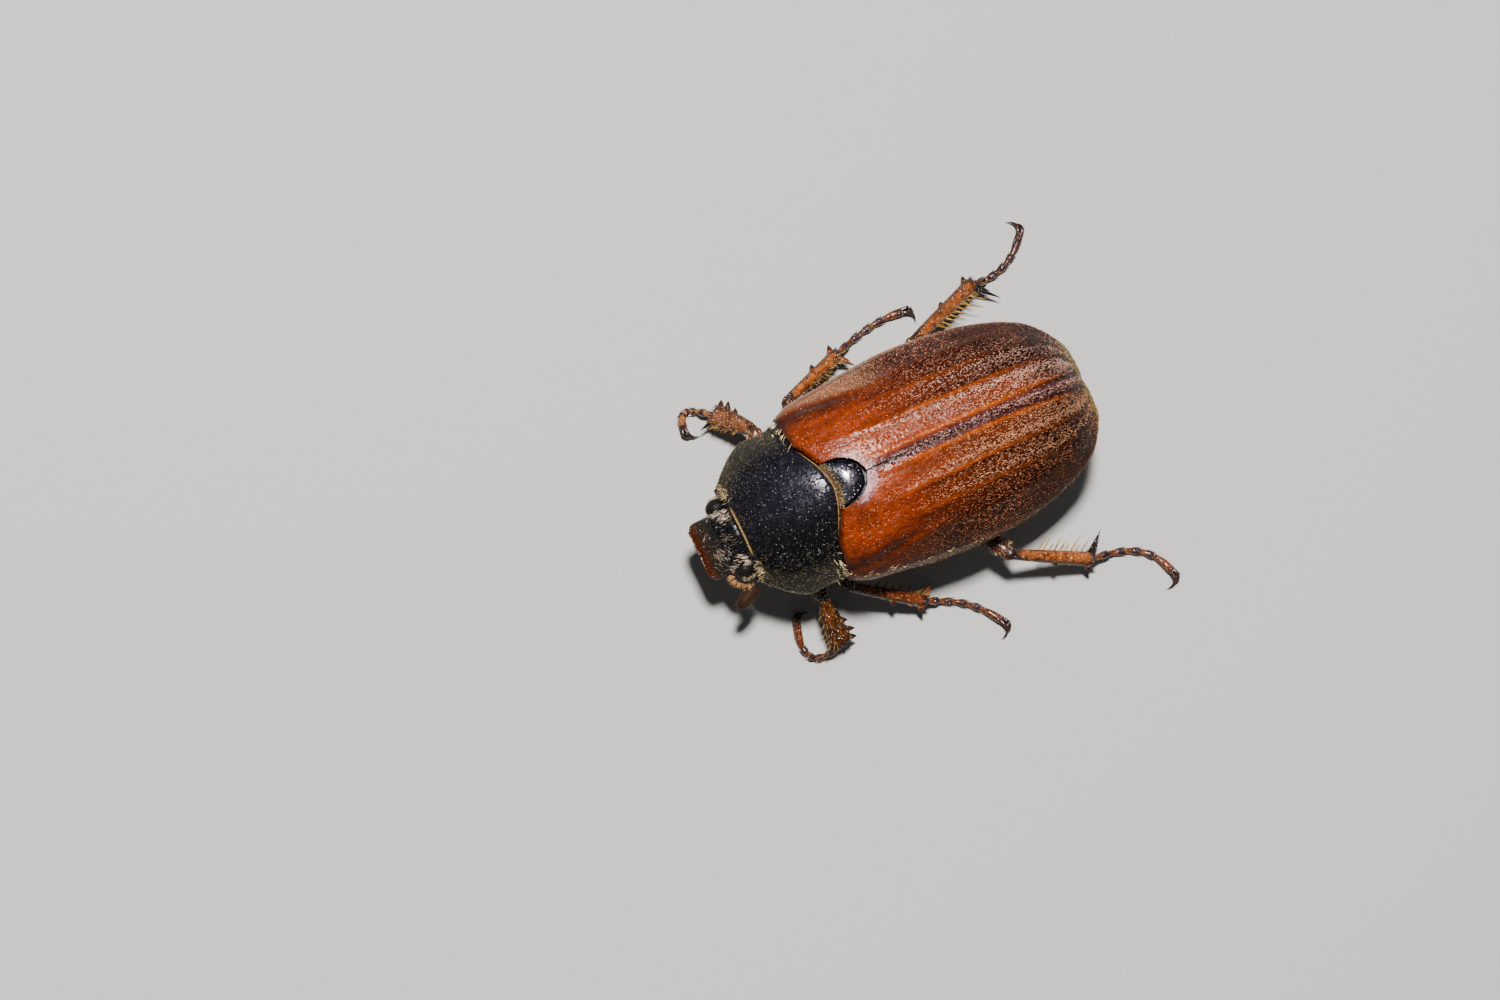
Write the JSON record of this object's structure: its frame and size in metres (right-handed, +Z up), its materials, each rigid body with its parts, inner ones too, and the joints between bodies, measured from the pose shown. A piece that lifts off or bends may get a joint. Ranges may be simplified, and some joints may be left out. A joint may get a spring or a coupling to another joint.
{
  "type": "cockchafer beetle",
  "caption": "Life-size standing cockchafer with ribbed wing cases over the back, a dark front shield, toothed fore shins, clawed feet and one feeler held out with its fan closed.",
  "frame": {"origin": "on the floor, below the middle of the bounding box", "axes": "+Z up, the head toward -Y, the beetle's left side toward +X"},
  "size_m": [0.0242, 0.0284, 0.0103],
  "materials": {
    "body_shell": "glossy blue-black insect shell",
    "wing_case": "glossy red-brown insect shell, darker behind",
    "leg": "glossy orange-brown insect shell with dark joints",
    "feeler": "satin pale brown insect shell",
    "feeler_club": "satin dark brown insect shell",
    "eye": "satin black insect eye"
  },
  "bodies": {
    "root": {"abdomen": "body_shell", "antenna_left": "feeler", "antenna_right": "feeler", "club_left": "feeler_club", "club_right": "feeler_club", "elytron_left": "wing_case", "elytron_right": "wing_case", "eye_left": "eye", "eye_right": "eye", "fore_left_femur": "leg", "fore_left_tarsus": "leg", "fore_left_tibia": "leg", "fore_right_femur": "leg", "fore_right_tarsus": "leg", "fore_right_tibia": "leg", "head": "body_shell", "hind_left_femur": "leg", "hind_left_tarsus": "leg", "hind_left_tibia": "leg", "hind_right_femur": "leg", "hind_right_tarsus": "leg", "hind_right_tibia": "leg", "mid_left_femur": "leg", "mid_left_tarsus": "leg", "mid_left_tibia": "leg", "mid_right_femur": "leg", "mid_right_tarsus": "leg", "mid_right_tibia": "leg", "palp_left": "feeler", "palp_right": "feeler", "pronotum": "body_shell", "pygidium": "body_shell", "scutellum": "body_shell", "thorax": "body_shell"}
  },
  "joints": []
}
